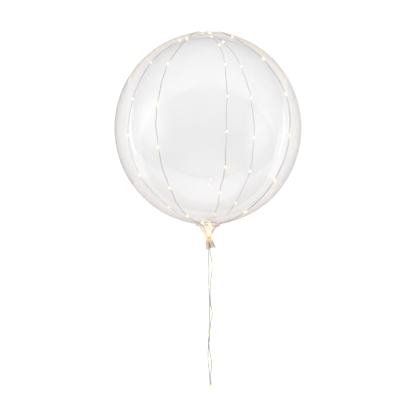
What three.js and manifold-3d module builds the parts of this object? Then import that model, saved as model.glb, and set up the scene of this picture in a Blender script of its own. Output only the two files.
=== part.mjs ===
import * as THREE from 'three';
import { mergeVertices } from 'three/addons/utils/BufferGeometryUtils.js';
import Module from 'manifold-3d';

// A clear film bubble balloon dressed with a string of small lamps, lying loose with its neck down.
// Millimetres, +Z up. The origin is the middle of the small flat spot that the bubble rests on.
// The bubble is drawn upright in a frame of its own, its neck towards -Z and its front towards -Y,
// and one group then lays it down.

// ---- driving dimensions ----------------------------------------------------------------------

const BUBBLE_RADIUS = 225;          // across the axis
const BUBBLE_HALF_LENGTH = 230;     // from the middle to the crown, along the axis
const NECK_DROP = 30;               // degrees that the neck points below the horizontal
const REST_RADIUS = 28;             // the flat spot that stops it rolling

const NECK_START = -81;             // latitude where the film leaves the ellipsoid for the neck
const TIE_STATION = -100;           // station of the tightest point, where the neck is tied
const TIE_HEIGHT = -261;
const TIE_RADIUS = 5;
const MOUTH_HEIGHT = -286.5;
const MOUTH_RADIUS = 11.5;
const NOZZLE_LEAN = 0.2;            // the nozzle leans sideways by this much of its length
const LEAN_START = -253;            // height where the lean begins
const PLEATS = 6;
const PLEAT_DEPTH = 0.12;           // of the nozzle's radius, at the mouth
const PLEAT_START = 12;             // length below the tie before the pleats begin

const AROUND = 39;                  // facets round the bubble
const LATITUDE_STEP = 6;            // degrees between rings

const WIRE_RADIUS = 0.6;            // two enamelled wires side by side
const WIRE_SIDES = 6;
const WIRE_LIFT = 1.8;              // wire's middle above the film
const WIRE_STEP = 32;               // length of one straight piece of a laid wire
const LAMP_RADIUS = 2.0;            // a moulded resin drop round each lamp
const LAMP_HALF_LENGTH = 3.4;
const LAMP_RISE = 0.8;              // lamp's middle above the wire's

// The string's turns round the neck, from WRAP_START to lower longitudes: one round the shoulder,
// dipping up to each of its two lamps, then down across the throat, then the tie itself. Each stop
// is [degrees turned, station, lift]: it passes over the laid runs, then winds on the film.
const WRAP_START = 200;
const WRAP_STOPS = [
  [0, -83, 6.8], [178, -83.4, 6.8], [193, -80.5, 5.4], [203, -80, 6.4], [212.5, -75, 5.4],
  [226, -80.5, 6.8], [240, -83.2, 6.8], [482, -84.6, 7.0], [546, -93.8, 6.2], [600, -97.2, 2.6], [760, -98.7, 2.2],
  [1550, -101.6, 2.5],
];
const WRAP_LAMPS = [193, 212.5, 546]; // degrees turned
const WRAP_STEPS = 58;

const TAIL_RADIUS = 0.6;
const TAIL_SIDES = 8;
const TAIL_STEPS = 34;

const CUTTER = 400;                 // side of the block that cuts the resting flat

// Each laid run goes from the neck to the crown. Longitude 0 is the front and rises to the right.
// The run leans by crownLean and neckLean degrees at latitudes 60 and -60. Its lamps are given by
// their latitudes, from the crown down, and the lowest is turned aside by lowestTurn degrees.
const RUNS = {
  frontLeft: { longitude: -29, crownLean: 10, neckLean: 0.5, lamps: [54.5, 31.5, 7.5, -15, -39, -64] },
  frontRight: { longitude: 54, crownLean: -28, neckLean: -5.5, lamps: [58.5, 37.5, 15.5, -7, -33.5, -59] },
  backRight: {
    longitude: 146.5, crownLean: -4.5, neckLean: 6, lowestTurn: -8,
    lamps: [75.5, 50.5, 27, 0, -23, -50, -74],
  },
  backLeft: { longitude: -115, crownLean: 9.5, neckLean: -21, lamps: [72, 48.5, 22.5, -0.5, -27, -54] },
  backMiddle: {
    longitude: 167, crownLean: -8, neckLean: 5, lowestTurn: -3,
    lamps: [73, 53, 29.5, 5, -19.5, -40, -63.5],
  },
};
// Lamps and places where the string crosses the crown: [longitude, latitude].
const CROWN_LEFT = [-32, 84];
const CROWN_RIGHT = [28, 88];
const CROWN_END = [158, 85];
const CROSSING = [-30, 89];         // the right loop passes over the left one here
const CROSSING_LIFT = 4.8;
const CROSSING_WIDTH = 30;
const NECK_END = [-84, -87, -90, -94.5];    // stations from a run's lowest lamp to the tie

// The tail: the string folded double. It leaves the nozzle, droops to the surface that the bubble
// lies on, and lies along it. Strand a passes over strand b once.
const TAIL_A = [
  [3.4, -244.3, 81.0], [4.9, -251, 77.0], [7.2, -262, 70.3], [9.4, -272.5, 63.4], [10.5, -281.5, 56.9],
  [9.9, -290, 50.4], [8.1, -300, 42.1], [6.2, -310, 33.6], [5.3, -322, 23.6], [5.2, -334.5, 14.2],
  [5.6, -347, 7.3], [6.8, -359, 3.5], [8.6, -368, 2.3], [10.2, -377, 2.3], [9.7, -387, 1.2],
  [7.5, -397, 0.8], [5.9, -409, 0.8], [4.7, -422, 0.8], [4.2, -435, 1.3], [3.4, -445, 2.5],
  [2.0, -455, 2.9], [0.8, -466, 2.5], [0.1, -480, 1.4], [0.2, -496, 2.3], [1.5, -509, 1.1],
  [3.1, -523, 0.8], [4.0, -539, 1.2], [5.3, -558, 2.4],
];
const TAIL_B = [
  [1.8, -244.3, 81.0], [1.4, -251, 77.0], [1.0, -262, 70.3], [1.4, -275, 61.4], [2.2, -287.5, 51.8],
  [2.0, -300, 42.1], [1.3, -310, 33.6], [1.8, -322, 23.6], [2.9, -334.5, 14.2], [3.6, -347, 7.2],
  [4.2, -359, 3.2], [3.7, -371, 1.4], [3.3, -381, 0.9], [4.1, -393, 0.8], [3.8, -407, 0.8],
  [2.2, -421, 1.2], [0.7, -435, 2.3], [1.0, -447, 1.0], [2.3, -459, 0.8], [3.8, -471, 0.8],
  [5.7, -483, 0.8], [7.5, -496, 0.8], [8.6, -506, 0.8], [8.0, -515, 0.8], [6.6, -527, 0.8],
  [6.6, -541, 0.9], [7.3, -553.8, 1.5],
];
const TAIL_A_LAMPS = [4, 13, 23, 27];   // places in the list above
const TAIL_B_LAMPS = [7, 16];

// ---- materials -------------------------------------------------------------------------------

const film = new THREE.MeshStandardMaterial({
  color: 0xeeedee, roughness: 0.05, metalness: 0, transparent: true, opacity: 0.3,
});
const wire = new THREE.MeshStandardMaterial({ color: 0x9a8c7c, roughness: 0.35, metalness: 1 });
const resin = new THREE.MeshStandardMaterial({
  color: 0xfff2c4, roughness: 0.2, metalness: 0, emissive: 0xffd27a, emissiveIntensity: 1,
});

// ---- solids ----------------------------------------------------------------------------------

const wasm = await Module();
wasm.setup();

// A closed geometry as a solid that can be joined and cut.
function solid(geometry) {
  const bare = geometry.clone();
  bare.deleteAttribute('normal');
  bare.deleteAttribute('uv');
  const merged = mergeVertices(bare, 1e-4);
  return new wasm.Manifold(new wasm.Mesh({
    numProp: 3,
    vertProperties: new Float32Array(merged.attributes.position.array),
    triVerts: new Uint32Array(merged.index.array),
  }));
}

function geometryOf(body) {
  const { vertProperties, triVerts } = body.getMesh();
  const geometry = new THREE.BufferGeometry();
  geometry.setAttribute('position', new THREE.BufferAttribute(vertProperties, 3));
  geometry.setIndex(new THREE.BufferAttribute(triVerts, 1));
  geometry.computeVertexNormals();
  return geometry;
}

function named(name, geometry, material) {
  const mesh = new THREE.Mesh(geometry, material);
  mesh.name = name;
  return mesh;
}

// ---- the film's shape ------------------------------------------------------------------------

const radians = THREE.MathUtils.degToRad;

// The film's profile below the ellipsoid, as [radius, height]: shoulder, gathered throat, tie, nozzle.
const neckProfile = [
  [BUBBLE_RADIUS * Math.cos(radians(NECK_START)), BUBBLE_HALF_LENGTH * Math.sin(radians(NECK_START))],
  [28.2, -229.8], [22.8, -233.2], [19.2, -238], [15.8, -243.6], [11.2, -250.4], [7.2, -256.2],
  [TIE_RADIUS, TIE_HEIGHT],
  [7, -266], [8.8, -271.5], [10.2, -279],
  [MOUTH_RADIUS, MOUTH_HEIGHT],
];
const TIE_PLACE = 7 / (neckProfile.length - 1);     // where the tie is along the profile, 0 to 1
const neckCurve = new THREE.SplineCurve(neckProfile.map(([r, h]) => new THREE.Vector2(r, h)));

// A station is a latitude down to NECK_START, and runs on from there to the tie.
function profileAt(station) {
  if (station >= NECK_START) {
    const angle = radians(station);
    return new THREE.Vector2(BUBBLE_RADIUS * Math.cos(angle), BUBBLE_HALF_LENGTH * Math.sin(angle));
  }
  return neckCurve.getPoint(TIE_PLACE * (NECK_START - station) / (NECK_START - TIE_STATION));
}

function leanAt(height) {
  return NOZZLE_LEAN * Math.max(0, LEAN_START - height);
}

// The point that is lift above the film at a longitude and station.
function overFilm(longitude, station, lift) {
  const here = profileAt(station);
  const along = profileAt(station - 0.5).sub(profileAt(Math.min(station + 0.5, 90))).normalize();
  const radius = here.x - along.y * lift;
  const height = here.y + along.x * lift;
  const angle = radians(longitude);
  return new THREE.Vector3(radius * Math.sin(angle) + leanAt(height), -radius * Math.cos(angle), height);
}

// ---- the bubble ------------------------------------------------------------------------------

function bubbleGeometry(toWorld) {
  const profile = [new THREE.Vector2(0, MOUTH_HEIGHT)];
  const neckSteps = neckProfile.length - 1;
  for (let i = neckSteps; i > 0; i--) profile.push(neckCurve.getPoint(i / neckSteps));
  for (let latitude = NECK_START; latitude < 90; latitude += LATITUDE_STEP) profile.push(profileAt(latitude));
  profile.push(new THREE.Vector2(0, BUBBLE_HALF_LENGTH));

  // LatheGeometry turns about Y, so the bubble is stood up along Z afterwards.
  const lathe = new THREE.LatheGeometry(profile, AROUND);
  lathe.rotateX(Math.PI / 2);
  const place = lathe.attributes.position;
  for (let i = 0; i < place.count; i++) {
    const height = place.getZ(i);
    const fold = THREE.MathUtils.smoothstep(-height, PLEAT_START - TIE_HEIGHT, -MOUTH_HEIGHT);
    const pleat = 1 + PLEAT_DEPTH * fold * Math.cos(PLEATS * Math.atan2(place.getY(i), place.getX(i)));
    place.setXY(i, place.getX(i) * pleat + leanAt(height), place.getY(i) * pleat);
  }

  const cutter = new THREE.BoxGeometry(CUTTER, CUTTER, CUTTER);
  cutter.translate(0, 0, -CUTTER / 2);
  cutter.applyMatrix4(toWorld.clone().invert());
  return geometryOf(solid(lathe).subtract(solid(cutter)));
}

// ---- wires and lamps -------------------------------------------------------------------------

function section(radius, sides) {
  const corners = [];
  for (let i = 0; i < sides; i++) {
    const angle = 2 * Math.PI * i / sides;
    corners.push(new THREE.Vector2(radius * Math.cos(angle), radius * Math.sin(angle)));
  }
  return new THREE.Shape(corners);
}

function tube(route, radius, sides, steps) {
  const extrudePath = new THREE.CatmullRomCurve3(route);
  return new THREE.ExtrudeGeometry(section(radius, sides), { extrudePath, steps, bevelEnabled: false });
}

// The place on a tube's straight pieces that is nearest to a point, and the tube's direction there.
function nearestOnTube(route, steps, target) {
  const rings = new THREE.CatmullRomCurve3(route).getSpacedPoints(steps);
  let best = null;
  for (let i = 1; i < rings.length; i++) {
    const piece = new THREE.Line3(rings[i - 1], rings[i]);
    const place = piece.closestPointToPoint(target, true, new THREE.Vector3());
    const away = place.distanceTo(target);
    if (!best || away < best.away) best = { place, away, along: piece.delta(new THREE.Vector3()) };
  }
  return best;
}

// A resin drop with its long axis along a wire.
function lampDrop(place, along) {
  const drop = new THREE.SphereGeometry(1, 5, 3);
  drop.scale(LAMP_RADIUS, LAMP_HALF_LENGTH, LAMP_RADIUS);
  const upright = new THREE.Vector3(0, 1, 0);
  drop.applyQuaternion(new THREE.Quaternion().setFromUnitVectors(upright, along.clone().normalize()));
  drop.translate(place.x, place.y, place.z);
  return drop;
}

function joined(geometries) {
  let body = solid(geometries[0]);
  for (const geometry of geometries.slice(1)) body = body.add(solid(geometry));
  return geometryOf(body);
}

// The [longitude, latitude] of each of a run's lamps, from the crown down.
function lampsOf({ longitude, crownLean, neckLean, lowestTurn = 0, lamps }) {
  return lamps.map((latitude, i) => {
    const lean = latitude > 0 ? crownLean : neckLean;
    const turn = i === lamps.length - 1 ? lowestTurn : 0;
    return [longitude + lean * (latitude / 60) ** 2 + turn, latitude];
  });
}

// From a run's lowest lamp on to just above the tie.
function neckEnd(run) {
  const lowest = lampsOf(run).at(-1)[0];
  return NECK_END.map((station) => [lowest, station]);
}

// Draws a point back to its lift over the ellipsoid, which a spline between lamps cuts across.
function settle(point, lift) {
  if (point.z < BUBBLE_HALF_LENGTH * Math.sin(radians(NECK_START + 3))) return point;
  const wide = BUBBLE_RADIUS + lift;
  const long = BUBBLE_HALF_LENGTH + lift;
  return point.divideScalar(Math.hypot(point.x / wide, point.y / wide, point.z / long));
}

function laidWire(stations, lampStations, crossing) {
  const guide = new THREE.CatmullRomCurve3(stations.map(([lon, at]) => overFilm(lon, at, WIRE_LIFT)));
  const steps = Math.round(guide.getLength() / WIRE_STEP);
  const liftNear = (point) => {
    if (!crossing) return WIRE_LIFT;
    const away = point.distanceTo(crossing) / CROSSING_WIDTH;
    return WIRE_LIFT + (CROSSING_LIFT - WIRE_LIFT) * Math.exp(-away * away);
  };
  const route = guide.getSpacedPoints(steps * 2).map((point) => settle(point, liftNear(point)));
  const drops = lampStations.map(([longitude, latitude]) => {
    const { place, along } = nearestOnTube(route, steps, overFilm(longitude, latitude, WIRE_LIFT));
    return lampDrop(place.addScaledVector(place.clone().normalize(), LAMP_RISE), along);
  });
  return joined([tube(route, WIRE_RADIUS, WIRE_SIDES, steps), ...drops]);
}

// A loop goes up one run, over the crown and down another.
function lightLoop(up, crown, down, crossing) {
  const lamps = [...lampsOf(up).reverse(), crown, ...lampsOf(down)];
  const stations = [...neckEnd(up).reverse(), ...lamps, ...neckEnd(down)];
  return laidWire(stations, lamps, crossing);
}

function lightRun(run, end) {
  const lamps = [end, ...lampsOf(run)];
  return laidWire([...lamps, ...neckEnd(run)], lamps, null);
}

function wrapPoint(turned) {
  const leg = Math.max(WRAP_STOPS.findIndex(([stop]) => stop >= turned), 1);
  const [from, to] = [WRAP_STOPS[leg - 1], WRAP_STOPS[leg]];
  const share = (turned - from[0]) / (to[0] - from[0]);
  const station = THREE.MathUtils.lerp(from[1], to[1], share);
  const lift = THREE.MathUtils.lerp(from[2], to[2], share);
  return overFilm(WRAP_START - turned, station, lift);
}

function neckWrap() {
  const all = WRAP_STOPS.at(-1)[0];
  const route = [];
  for (let i = 0; i <= WRAP_STEPS * 2; i++) route.push(wrapPoint(all * i / (WRAP_STEPS * 2)));
  const drops = WRAP_LAMPS.map((turned) => {
    const { place, along } = nearestOnTube(route, WRAP_STEPS, wrapPoint(turned));
    return lampDrop(place, along);
  });
  return joined([tube(route, WIRE_RADIUS, WIRE_SIDES, WRAP_STEPS), ...drops]);
}

function tailStrand(route, lampPlaces) {
  const points = route.map(([x, y, z]) => new THREE.Vector3(x, y, z));
  const drops = lampPlaces.map((i) => {
    const along = points[Math.min(i + 1, points.length - 1)].clone().sub(points[i - 1]);
    return lampDrop(points[i], along);
  });
  return joined([tube(points, TAIL_RADIUS, TAIL_SIDES, TAIL_STEPS), ...drops]);
}

// ---- the balloon, laid down ------------------------------------------------------------------

// Height of the bubble's middle over its lowest point, and how far back of that point it is.
const tilt = radians(NECK_DROP);
const across = BUBBLE_RADIUS * Math.cos(tilt);
const lengthwise = BUBBLE_HALF_LENGTH * Math.sin(tilt);
const support = Math.hypot(across, lengthwise);
const flatDepth = REST_RADIUS ** 2 / (2 * support);
const backward = (BUBBLE_HALF_LENGTH ** 2 - BUBBLE_RADIUS ** 2) * Math.sin(tilt) * Math.cos(tilt) / support;

const lying = new THREE.Group();
lying.position.set(0, backward, support - flatDepth);
lying.rotation.x = -(Math.PI / 2 - tilt);
lying.updateMatrix();

const crossing = overFilm(...CROSSING, WIRE_LIFT);
lying.add(named('bubble', bubbleGeometry(lying.matrix), film));
lying.add(named('light_loop_left', lightLoop(RUNS.frontLeft, CROWN_LEFT, RUNS.backRight, null), resin));
lying.add(named('light_loop_right', lightLoop(RUNS.frontRight, CROWN_RIGHT, RUNS.backLeft, crossing), resin));
lying.add(named('light_run_back', lightRun(RUNS.backMiddle, CROWN_END), resin));
lying.add(named('neck_wrap', neckWrap(), wire));

const balloon = new THREE.Group();
balloon.add(lying);
balloon.add(named('tail_strand_a', tailStrand(TAIL_A, TAIL_A_LAMPS), wire));
balloon.add(named('tail_strand_b', tailStrand(TAIL_B, TAIL_B_LAMPS), wire));

export default balloon;
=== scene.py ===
"""Clear film bubble balloon with a string of small warm lamps, lying loose with its neck down.

Metres, +Z up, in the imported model's frame. The balloon's own upright frame has its crown towards
+Z and its front towards -Y, and lying_down() gives the matrix that lays it down.
"""

import math

import bpy
import numpy as np
from bpy.props import FloatProperty, FloatVectorProperty, IntProperty, PointerProperty
from bpy.types import Operator, Panel, PropertyGroup
from mathutils import Matrix, Vector


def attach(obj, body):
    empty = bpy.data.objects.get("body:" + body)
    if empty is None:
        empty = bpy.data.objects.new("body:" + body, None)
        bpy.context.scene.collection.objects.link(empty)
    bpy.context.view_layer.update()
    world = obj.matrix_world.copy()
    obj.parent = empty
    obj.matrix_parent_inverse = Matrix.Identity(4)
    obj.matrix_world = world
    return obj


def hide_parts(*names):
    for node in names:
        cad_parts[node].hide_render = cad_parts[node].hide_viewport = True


bl_info = {
    "name": "Clear Bubble Balloon",
    "version": (1, 0, 0),
    "blender": (4, 5, 0),
    "location": "3D View > Sidebar > Balloon",
    "description": "Builds a clear film bubble balloon dressed with a string of small lamps",
    "category": "Add Mesh",
}

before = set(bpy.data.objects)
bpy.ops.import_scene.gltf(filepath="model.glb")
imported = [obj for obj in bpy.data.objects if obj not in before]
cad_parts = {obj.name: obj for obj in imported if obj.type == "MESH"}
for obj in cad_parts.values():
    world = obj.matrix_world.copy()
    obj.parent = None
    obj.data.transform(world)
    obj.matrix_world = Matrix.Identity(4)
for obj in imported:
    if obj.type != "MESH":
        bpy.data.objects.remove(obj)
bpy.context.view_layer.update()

MM = 0.001
BODY = "root"

# ---- the film's shape ------------------------------------------------------------------------

REST_RADIUS = 28 * MM               # the flat spot that the bubble rests on
REST_GAP = 0.1 * MM                 # kept between the film and the floor
NECK_START = -81                    # latitude where the film leaves the ellipsoid for the neck
TIE_STATION = -100                  # station of the tightest point, where the neck is tied
NOZZLE_LEAN = 0.2                   # the nozzle leans sideways by this much of its length
LEAN_START = -253 * MM              # height where the lean begins

# The film below the ellipsoid, as (radius, height) in mm: shoulder, throat, tie, nozzle.
NECK_PROFILE = [
    (28.2, -229.8), (22.8, -233.2), (19.2, -238), (15.8, -243.6), (11.2, -250.4), (7.2, -256.2),
    (5, -261),
    (7, -266), (8.8, -271.5), (10.2, -279), (11.5, -286.5),
]
TIE_PLACE = 7 / len(NECK_PROFILE)   # where the tie is along the profile, 0 to 1

# ---- the string's routes ---------------------------------------------------------------------

# Each run goes from the neck to the crown. Longitude 0 is the front and rises to the right. The
# run leans by the two leans, in degrees, at latitudes 60 and -60. Its lamps are given by their
# latitudes, from the crown down, and the lowest is turned aside by lowest_turn degrees.
RUNS = {
    "front_left": dict(longitude=-29, leans=(10, 0.5), lamps=(54.5, 31.5, 7.5, -15, -39, -64)),
    "front_right": dict(longitude=54, leans=(-28, -5.5), lamps=(58.5, 37.5, 15.5, -7, -33.5, -59)),
    "back_right": dict(
        longitude=146.5, leans=(-4.5, 6), lowest_turn=-8, lamps=(75.5, 50.5, 27, 0, -23, -50, -74)
    ),
    "back_left": dict(longitude=-115, leans=(9.5, -21), lamps=(72, 48.5, 22.5, -0.5, -27, -54)),
    "back_middle": dict(
        longitude=167, leans=(-8, 5), lowest_turn=-3, lamps=(73, 53, 29.5, 5, -19.5, -40, -63.5)
    ),
}
# Lamps on the crown, as (longitude, latitude), and the place where the right loop passes over the
# left one.
CROWN_LEFT = (-32, 84)
CROWN_RIGHT = (28, 88)
CROWN_END = (158, 85)
CROSSING = (-30, 89)
CROSSING_LIFT = 3.2 * MM
CROSSING_WIDTH = 30 * MM
NECK_END = (-84, -87, -90, -94.5)   # stations from a run's lowest lamp to just above the tie

# The turns round the neck: degrees turned, station and lift in mm at each corner of the route. The
# first turn goes round the shoulder and dips up to each of its two lamps, then the string comes
# down across the throat and is wound into the tie.
WRAP_START = 200
WRAP_STOPS = [
    (0, -83, 3.4), (178, -83.4, 3.4), (193, -80.5, 2.6), (203, -80, 2.9), (212.5, -75, 2.6),
    (226, -80.5, 3.2), (240, -83.2, 3.4), (482, -84.6, 2.6), (546, -93.8, 2.2), (600, -97.2, 0.9),
    (760, -98.7, 0.7), (1550, -101.6, 0.9),
]
WRAP_LAMPS = (193, 212.5, 546)      # degrees turned

# The tail in mm: the string folded double, drooping from the nozzle and lying along the surface.
TAIL_A = [
    (3.4, -244.3, 81.0), (4.9, -251, 77.0), (7.2, -262, 70.3), (9.4, -272.5, 63.4),
    (10.5, -281.5, 56.9), (9.9, -290, 50.4), (8.1, -300, 42.1), (6.2, -310, 33.6),
    (5.3, -322, 23.6), (5.2, -334.5, 14.2), (5.6, -347, 7.3), (6.8, -359, 3.5),
    (8.6, -368, 2.3), (10.2, -377, 2.3), (9.7, -387, 1.2), (7.5, -397, 0.8),
    (5.9, -409, 0.8), (4.7, -422, 0.8), (4.2, -435, 1.3), (3.4, -445, 2.5),
    (2.0, -455, 2.9), (0.8, -466, 2.5), (0.1, -480, 1.4), (0.2, -496, 2.3),
    (1.5, -509, 1.1), (3.1, -523, 0.8), (4.0, -539, 1.2), (5.3, -558, 2.4),
]
TAIL_B = [
    (1.8, -244.3, 81.0), (1.4, -251, 77.0), (1.0, -262, 70.3), (1.4, -275, 61.4),
    (2.2, -287.5, 51.8), (2.0, -300, 42.1), (1.3, -310, 33.6), (1.8, -322, 23.6),
    (2.9, -334.5, 14.2), (3.6, -347, 7.2), (4.2, -359, 3.2), (3.7, -371, 1.4),
    (3.3, -381, 0.9), (4.1, -393, 0.8), (3.8, -407, 0.8), (2.2, -421, 1.2),
    (0.7, -435, 2.3), (1.0, -447, 1.0), (2.3, -459, 0.8), (3.8, -471, 0.8),
    (5.7, -483, 0.8), (7.5, -496, 0.8), (8.6, -506, 0.8), (8.0, -515, 0.8),
    (6.6, -527, 0.8), (6.6, -541, 0.9), (7.3, -553.8, 1.5),
]
TAIL_A_LAMPS = [4, 13, 23]          # places in the list above
TAIL_B_LAMPS = [7, 16]


def linear(code):
    """An sRGB hex colour as linear red, green and blue."""
    channels = [int(code[i : i + 2], 16) / 255 for i in (1, 3, 5)]
    return tuple(c / 12.92 if c <= 0.04045 else ((c + 0.055) / 1.055) ** 2.4 for c in channels)


class BalloonFilmSettings(PropertyGroup):
    """The blown film."""

    radius: FloatProperty(
        name="Radius", description="Across the axis", default=0.225, subtype="DISTANCE", unit="LENGTH"
    )
    half_length: FloatProperty(
        name="Half length", description="From the middle to the crown", default=0.230,
        subtype="DISTANCE", unit="LENGTH",
    )
    neck_drop: FloatProperty(
        name="Neck drop", description="How far the neck points below the horizontal",
        default=math.radians(30), subtype="ANGLE", unit="ROTATION",
    )
    thickness: FloatProperty(
        name="Film thickness", description="Between the film's two faces", default=0.3 * MM,
        subtype="DISTANCE", unit="LENGTH",
    )
    rings: IntProperty(
        name="Rings", description="Rings of points in each face of the film", default=150, min=20
    )
    film_colour: FloatVectorProperty(
        name="Film", description="Colour of the clear film", default=linear("#fdfdfe"),
        subtype="COLOR", size=3, min=0, max=1,
    )
    sleeve_colour: FloatVectorProperty(
        name="Gathered film", description="Colour of the film where it lies in crumpled layers",
        default=linear("#f1e4cb"), subtype="COLOR", size=3, min=0, max=1,
    )


class BalloonStringSettings(PropertyGroup):
    """The wire and its lamps."""

    wire_radius: FloatProperty(
        name="Wire radius", description="Of one of the two wires of the string",
        default=0.235 * MM, subtype="DISTANCE", unit="LENGTH",
    )
    twist_pitch: FloatProperty(
        name="Twist pitch", description="Length in which the two wires turn once round each other",
        default=11 * MM, subtype="DISTANCE", unit="LENGTH",
    )
    wire_lift: FloatProperty(
        name="Wire lift", description="Height of the string's middle over the film",
        default=1.0 * MM, subtype="DISTANCE", unit="LENGTH",
    )
    lamp_radius: FloatProperty(
        name="Lamp radius", description="Of a resin drop", default=2.0 * MM,
        subtype="DISTANCE", unit="LENGTH",
    )
    lamp_half_length: FloatProperty(
        name="Lamp half length", description="Of a resin drop along the wire", default=3.4 * MM,
        subtype="DISTANCE", unit="LENGTH",
    )
    tail_wire_radius: FloatProperty(
        name="Tail wire radius", description="Of one of the two wires in the tail",
        default=0.35 * MM, subtype="DISTANCE", unit="LENGTH",
    )
    tail_lamp_radius: FloatProperty(
        name="Tail lamp radius", description="Of a resin drop in the tail", default=2.1 * MM,
        subtype="DISTANCE", unit="LENGTH",
    )
    tail_lamp_half_length: FloatProperty(
        name="Tail lamp half length", description="Of a resin drop in the tail along the wire",
        default=5.2 * MM, subtype="DISTANCE", unit="LENGTH",
    )
    lamp_glow: FloatProperty(
        name="Lamp glow", description="How bright the lit resin is on the bubble", default=2.6, min=0,
    )
    tail_glow: FloatProperty(
        name="Tail lamp glow", description="How bright the lit resin is in the tail", default=0.4, min=0,
    )
    wire_colour: FloatVectorProperty(
        name="Copper wire", description="Colour of the wire on the bubble",
        default=linear("#97622d"), subtype="COLOR", size=3, min=0, max=1,
    )
    tail_colour: FloatVectorProperty(
        name="Tail wire", description="Colour of the wire in the tail",
        default=linear("#766d63"), subtype="COLOR", size=3, min=0, max=1,
    )
    glow_colour: FloatVectorProperty(
        name="Lamp light", description="Colour of the lamps' light", default=linear("#ffe7a8"),
        subtype="COLOR", size=3, min=0, max=1,
    )


class BalloonStudioSettings(PropertyGroup):
    """Camera, floor and lights."""

    camera_elevation: FloatProperty(
        name="Camera elevation", description="Above the horizon", default=math.radians(60),
        subtype="ANGLE", unit="ROTATION",
    )
    camera_distance: FloatProperty(
        name="Camera distance", description="From the middle of the view", default=1.575,
        subtype="DISTANCE", unit="LENGTH",
    )
    view_height: FloatProperty(
        name="View height", description="Seen at that distance", default=1.007,
        subtype="DISTANCE", unit="LENGTH",
    )
    view_drop: FloatProperty(
        name="View drop", description="From the bubble's middle towards the neck", default=0.1897,
        subtype="DISTANCE", unit="LENGTH",
    )
    floor_size: FloatProperty(
        name="Floor size", description="Side of the floor", default=14, subtype="DISTANCE", unit="LENGTH"
    )


# ---- small tools -----------------------------------------------------------------------------


def add_node(tree, kind, values=None, links=None, **properties):
    """Adds a node, sets its properties and input values, and links its inputs from other outputs."""
    node = tree.nodes.new(kind)
    for name, value in properties.items():
        setattr(node, name, value)
    for name, value in (values or {}).items():
        node.inputs[name].default_value = value
    for name, source in (links or {}).items():
        tree.links.new(source, node.inputs[name])
    return node


def new_material(name):
    """An empty node material and its tree."""
    material = bpy.data.materials.new(name)
    material.use_nodes = True
    material.node_tree.nodes.clear()
    return material, material.node_tree


def opaque(colour):
    """A colour with its alpha of 1."""
    return (*colour, 1.0)


def smoothstep(low, high, value):
    """0 below low and 1 above high, with a smooth rise between them."""
    share = np.clip((value - low) / (high - low), 0, 1)
    return share * share * (3 - 2 * share)


def mesh_object(name, vertices, faces, material, attributes=None):
    """A smooth mesh object, with float values on its points."""
    mesh = bpy.data.meshes.new(name)
    mesh.from_pydata([tuple(v) for v in vertices], [], [tuple(f) for f in faces])
    mesh.polygons.foreach_set("use_smooth", [True] * len(mesh.polygons))
    for key, values in (attributes or {}).items():
        attribute = mesh.attributes.new(key, "FLOAT", "POINT")
        attribute.data.foreach_set("value", np.asarray(values, np.float32))
    mesh.materials.append(material)
    mesh.validate()
    thing = bpy.data.objects.new(name, mesh)
    bpy.context.scene.collection.objects.link(thing)
    return thing


def loft(rings, ring_shaped=False):
    """Joins rings of points into one closed surface, with a fan at each end, or with the last ring
    joined to the first."""
    rings = np.asarray(rings, float)
    count, around = rings.shape[:2]
    vertices = rings.reshape(-1, 3)
    faces = []
    for i in range(count if ring_shaped else count - 1):
        here, there = i * around, (i + 1) % count * around
        for j in range(around):
            k = (j + 1) % around
            faces.append((here + j, here + k, there + k, there + j))
    if not ring_shaped:
        vertices = np.vstack([vertices, rings[0].mean(0), rings[-1].mean(0)])
        first, last = count * around, count * around + 1
        for j in range(around):
            k = (j + 1) % around
            faces.append((first, k, j))
            faces.append((last, (count - 1) * around + j, (count - 1) * around + k))
    return vertices, faces if encloses(vertices, faces) > 0 else [face[::-1] for face in faces]


def encloses(vertices, faces):
    """The signed volume inside a closed surface, which is above 0 if its faces point outwards."""
    volume = 0
    for size in {len(face) for face in faces}:
        corners = np.array([face for face in faces if len(face) == size])
        for step in range(1, size - 1):
            a, b, c = (vertices[corners[:, i]] for i in (0, step, step + 1))
            volume += np.einsum("ij,ij->", a, np.cross(b, c)) / 6
    return volume


def merged(parts):
    """Several (vertices, faces) as one."""
    vertices, faces, start = [], [], 0
    for some_vertices, some_faces in parts:
        vertices.extend(some_vertices)
        faces.extend(tuple(start + i for i in face) for face in some_faces)
        start += len(some_vertices)
    return np.array(vertices), faces


LEG_STEPS = 24                      # steps between two points of a route


def cubic(start, end, leaving, arriving, t):
    """The point at t, 0 to 1, on the curve between two points with the given slopes."""
    return (
        start + leaving * t
        + (3 * (end - start) - 2 * leaving - arriving) * t**2
        + (2 * (start - end) + leaving + arriving) * t**3
    )


def slope_at(before, here, after, gap_before, gap_after):
    """The slope of a centripetal curve where it passes a point."""
    return (
        (here - before) / gap_before
        - (after - before) / (gap_before + gap_after)
        + (after - here) / gap_after
    )


def spline(points, spacing):
    """Points spaced evenly along a centripetal Catmull-Rom curve through the given points."""
    points = np.asarray(points, float)
    ends = (2 * points[0] - points[1], 2 * points[-1] - points[-2])
    run = np.vstack([ends[0], points, ends[1]])
    dense = []
    for i in range(1, len(run) - 2):
        before, start, end, after = run[i - 1 : i + 3]
        legs = ((before, start), (start, end), (end, after))
        gaps = [max(np.linalg.norm(b - a), 1e-9) ** 0.5 for a, b in legs]
        leaving = slope_at(before, start, end, gaps[0], gaps[1]) * gaps[1]
        arriving = slope_at(start, end, after, gaps[1], gaps[2]) * gaps[1]
        for t in np.linspace(0, 1, LEG_STEPS, endpoint=False):
            dense.append(cubic(start, end, leaving, arriving, t))
    dense.append(points[-1])
    return evenly(np.array(dense), spacing)


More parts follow.
